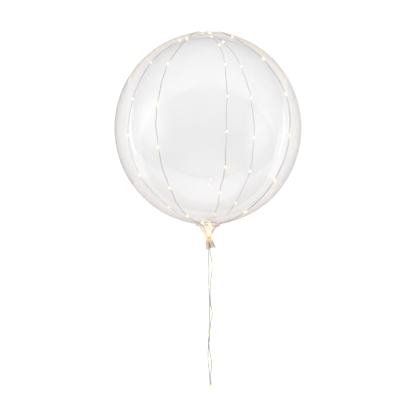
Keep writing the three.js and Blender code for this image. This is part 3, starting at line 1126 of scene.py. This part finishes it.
class BALLOON_OT_sleeve(Operator):
    """Adds the gathered nozzle below the tie"""

    bl_idname = "balloon.sleeve"
    bl_label = "Nozzle sleeve"

    def execute(self, context):
        film = context.scene.balloon_film
        sections = np.array(SLEEVE_SECTIONS)
        heights = np.linspace(sections[0, 0], sections[-1, 0], SLEEVE_RINGS)
        values = [np.interp(heights, sections[::-1, 0], sections[::-1, i]) for i in (1, 2, 3)]
        # Painted shade: the nozzle's right side is drawn darker, as if turned away from the light.
        shaded_side = 0.3 * smoothstep(0, 0.6, SLEEVE_ANGLES)
        outer, inner, fold_shades = [], [], []
        for height, wide, deep, valley in zip(heights, *values):
            ring, fold = sleeve_ring(height * MM, wide, deep, valley, 0)
            outer.append(ring)
            inner.append(sleeve_ring(height * MM, wide, deep, valley, SLEEVE_THICKNESS)[0])
            fold_shades.append(np.maximum(fold * valley / DEEPEST_VALLEY, shaded_side))
        vertices, faces = loft(outer + inner[::-1])
        # Painted shade: the nozzle's inner face is drawn darker.
        inner_shade = np.full(SLEEVE_RINGS * len(SLEEVE_ANGLES), 0.7)
        fold = np.concatenate([*fold_shades, inner_shade, [0, 0]])
        lit = 1 - smoothstep(255 * MM, 272 * MM, -vertices[:, 2])       # from the tie downwards
        sleeve = mesh_object(
            "neck_sleeve", in_row(film, vertices), faces, gathered_film_material(film),
            {"fold": np.clip(fold, 0, 1), "lit": lit},
        )
        ride_all([sleeve])
        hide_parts("bubble")
        return {"FINISHED"}


# ---- the strings on the bubble ---------------------------------------------------------------


def lamps_of(run):
    """(longitude, latitude) of each of a run's lamps, from the crown down."""
    crown_lean, neck_lean = run["leans"]
    lamps = [
        (run["longitude"] + (crown_lean if latitude > 0 else neck_lean) * (latitude / 60) ** 2, latitude)
        for latitude in run["lamps"]
    ]
    lamps[-1] = (lamps[-1][0] + run.get("lowest_turn", 0), lamps[-1][1])
    return lamps


def neck_end(run):
    """From a run's lowest lamp on to just above the tie."""
    lowest = lamps_of(run)[-1][0]
    return [(lowest, station) for station in NECK_END]


# How bright the lamps look, as shares of the lamp glow: the ones on the front turn their dim sides
# out, and the ones on the back and on the crown shine through the film.
FRONT_GLOW = 0.45
BACK_GLOW = 1.9
CROWN_GLOW = 5                      # near the crown, from latitude 70 up
TOP_GLOW = 14                       # on the crown itself
NECK_GLOW = 0.8
DROP_LIFT = 0.8 * MM                # of a drop's middle over its wire


def glowing(lamps, glow):
    """(longitude, latitude, glow) of each lamp, brighter near the crown."""
    return [
        (longitude, latitude, np.interp(latitude, (66, 70), (glow, max(glow, CROWN_GLOW))))
        for longitude, latitude in lamps
    ]


STRING_STEP = 1.6 * MM              # between the points of a laid string


def wandering(name, line, outward):
    """The line with the wander of wire that is laid by hand: about a millimetre to either side."""
    sideways = np.cross(np.gradient(line, axis=0), outward)
    sideways /= np.linalg.norm(sideways, axis=1)[:, None]
    along = np.arange(len(line)) * STRING_STEP / MM
    wander = (
        0.9 * np.sin(along / 17 + len(name)) + 0.6 * np.sin(along / 7.3 + 2)
        + 0.5 * np.sin(along / 31 + 1)
    )
    return line + sideways * (wander * MM)[:, None]


def laid_string(film, string, name, stations, lamp_stations, crossing, wire_finish, resin):
    """A string laid over the film, with its drops. Each lamp is (longitude, latitude, glow), where its
    glow is a share of the string's."""
    guide = [over_film(film, longitude, station, string.wire_lift) for longitude, station in stations]
    line = spline(guide, STRING_STEP)
    lift = np.full(len(line), string.wire_lift)
    if crossing is not None:
        away = np.linalg.norm(line - crossing, axis=1) / CROSSING_WIDTH
        lift += (CROSSING_LIFT - string.wire_lift) * np.exp(-(away**2))
    line = settle(film, line, lift)
    outward = line / np.linalg.norm(line, axis=1)[:, None]
    line = wandering(name, line, outward)
    places, drops, lights = [], [], []
    for i, (longitude, station, glow) in enumerate(lamp_stations):
        target = over_film(film, longitude, station, string.wire_lift)
        at = int(np.argmin(np.linalg.norm(line - target, axis=1)))
        tangent = line[min(at + 2, len(line) - 1)] - line[max(at - 2, 0)]
        place = line[at] + outward[at] * DROP_LIFT
        vertices, faces = lamp_drop(
            place, tangent, outward[at], string.lamp_radius, string.lamp_half_length, i * 1.3
        )
        places.append(place)
        drops.append((vertices, faces))
        lights.append(drop_light(vertices, place, string.lamp_half_length, glow * string.lamp_glow))
    vertices, faces = twisted_pair(line, string.wire_radius, string.twist_pitch)
    lit = lit_share(vertices, places, DROP_REACH)
    wire = mesh_object(f"{name}_wire", in_row(film, vertices), faces, wire_finish, {"lit": lit})
    vertices, faces = merged(drops)
    lamps = mesh_object(f"{name}_lamps", in_row(film, vertices), faces, resin, lights_of(lights))
    ride_all([wire])
    ride_all([lamps])
    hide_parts(name)
    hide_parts(name)


class BALLOON_OT_light_runs(Operator):
    """Adds the strings laid over the film, from the neck over the crown"""

    bl_idname = "balloon.light_runs"
    bl_label = "Light runs"

    def execute(self, context):
        film, string = context.scene.balloon_film, context.scene.balloon_string
        wire_finish = wire_material(
            "enamelled copper wire, drawn", string.wire_colour, string.glow_colour, 0.5
        )
        resin = lamp_material(
            "clear epoxy drop, cast", linear("#fff4cf"), linear("#fff8ce"), linear("#ffefbc")
        )
        crossing = over_film(film, *CROSSING, string.wire_lift)
        loops = [
            ("light_loop_left", RUNS["front_left"], CROWN_LEFT, RUNS["back_right"], None),
            ("light_loop_right", RUNS["front_right"], CROWN_RIGHT, RUNS["back_left"], crossing),
        ]
        for name, rising, crown, falling, over in loops:
            front, back = lamps_of(rising)[::-1], lamps_of(falling)
            stations = [*neck_end(rising)[::-1], *front, crown, *back, *neck_end(falling)]
            lamps = [*glowing(front, FRONT_GLOW), *glowing([crown], TOP_GLOW), *glowing(back, BACK_GLOW)]
            laid_string(film, string, name, stations, lamps, over, wire_finish, resin)
        middle = RUNS["back_middle"]
        back = lamps_of(middle)
        laid_string(
            film, string, "light_run_back", [CROWN_END, *back, *neck_end(middle)],
            glowing([CROWN_END, *back], BACK_GLOW), None, wire_finish, resin,
        )
        return {"FINISHED"}


WRAP_STEP = 0.9 * MM                # between the points of the wound string
WRAP_TWIST = 0.7                    # wound by hand, the wires are twisted tighter, by this share
WRAP_REACH = 13 * MM                # how far a lamp's light shows along the wound string


def wrap_point(film, turned):
    """Where the string is after it has turned by so many degrees round the neck."""
    turns, stations, lifts = zip(*WRAP_STOPS)
    station = np.interp(turned, turns, stations)
    lift = np.interp(turned, turns, lifts) * MM
    return over_film(film, WRAP_START - turned, station, lift)


class BALLOON_OT_neck_wrap(Operator):
    """Adds the string's turns round the neck, with their drops"""

    bl_idname = "balloon.neck_wrap"
    bl_label = "Neck wrap"

    def execute(self, context):
        film, string = context.scene.balloon_film, context.scene.balloon_string
        turns = np.arange(0, WRAP_STOPS[-1][0] + 1, 5)
        line = evenly(np.array([wrap_point(film, turned) for turned in turns]), WRAP_STEP)
        places = [wrap_point(film, turned) for turned in WRAP_LAMPS]
        vertices, faces = twisted_pair(line, string.wire_radius, string.twist_pitch * WRAP_TWIST)
        wire_finish = wire_material(
            "enamelled copper wire, wound", linear("#b98d55"), linear("#fbd060"), 0.75
        )
        resin = lamp_material(
            "clear epoxy drop, cast, neck", linear("#fff4cf"), linear("#fff9d4"), linear("#ffecb5")
        )
        wrap = mesh_object(
            "neck_wrap_wire", in_row(film, vertices), faces, wire_finish,
            {"lit": lit_share(vertices, places, WRAP_REACH)},
        )
        radius, half_length = string.lamp_radius, string.lamp_half_length
        drops, lights = [], []
        for i, turned in enumerate(WRAP_LAMPS):
            tangent = wrap_point(film, turned + 4) - wrap_point(film, turned - 4)
            vertices, faces = lamp_drop(places[i], tangent, places[i] * (1, 1, 0), radius, half_length, i)
            drops.append((vertices, faces))
            lights.append(drop_light(vertices, places[i], half_length, string.lamp_glow * NECK_GLOW))
        vertices, faces = merged(drops)
        lamps = mesh_object("neck_wrap_lamps", in_row(film, vertices), faces, resin, lights_of(lights))
        ride_all([wrap])
        ride_all([lamps])
        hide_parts("neck_wrap")
        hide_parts("neck_wrap")
        return {"FINISHED"}


OPERATORS = (
    BALLOON_OT_studio, BALLOON_OT_tail, BALLOON_OT_film, BALLOON_OT_throat, BALLOON_OT_sleeve,
    BALLOON_OT_light_runs, BALLOON_OT_neck_wrap,
)
SETTINGS = {
    "balloon_film": BalloonFilmSettings,
    "balloon_string": BalloonStringSettings,
    "balloon_studio": BalloonStudioSettings,
}


class BALLOON_PT_panel(Panel):
    """Lists the balloon's steps and settings"""

    bl_label = "Clear Bubble Balloon"
    bl_space_type = "VIEW_3D"
    bl_region_type = "UI"
    bl_category = "Balloon"

    def draw(self, context):
        for operator in OPERATORS:
            self.layout.operator(operator.bl_idname)
        for name, settings in SETTINGS.items():
            box = self.layout.box()
            for key in settings.__annotations__:
                box.prop(getattr(context.scene, name), key)


def register():
    for cls in (*SETTINGS.values(), *OPERATORS, BALLOON_PT_panel):
        bpy.utils.register_class(cls)
    for name, settings in SETTINGS.items():
        setattr(bpy.types.Scene, name, PointerProperty(type=settings))


def unregister():
    for name in SETTINGS:
        delattr(bpy.types.Scene, name)
    for cls in reversed((*SETTINGS.values(), *OPERATORS, BALLOON_PT_panel)):
        bpy.utils.unregister_class(cls)


def main():
    """Registers the add-on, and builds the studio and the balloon."""
    register()
    bpy.ops.balloon.studio()
    bpy.ops.balloon.tail()
    bpy.ops.balloon.film()
    bpy.ops.balloon.throat()
    bpy.ops.balloon.sleeve()
    bpy.ops.balloon.light_runs()
    bpy.ops.balloon.neck_wrap()


if __name__ == "__main__":
    main()
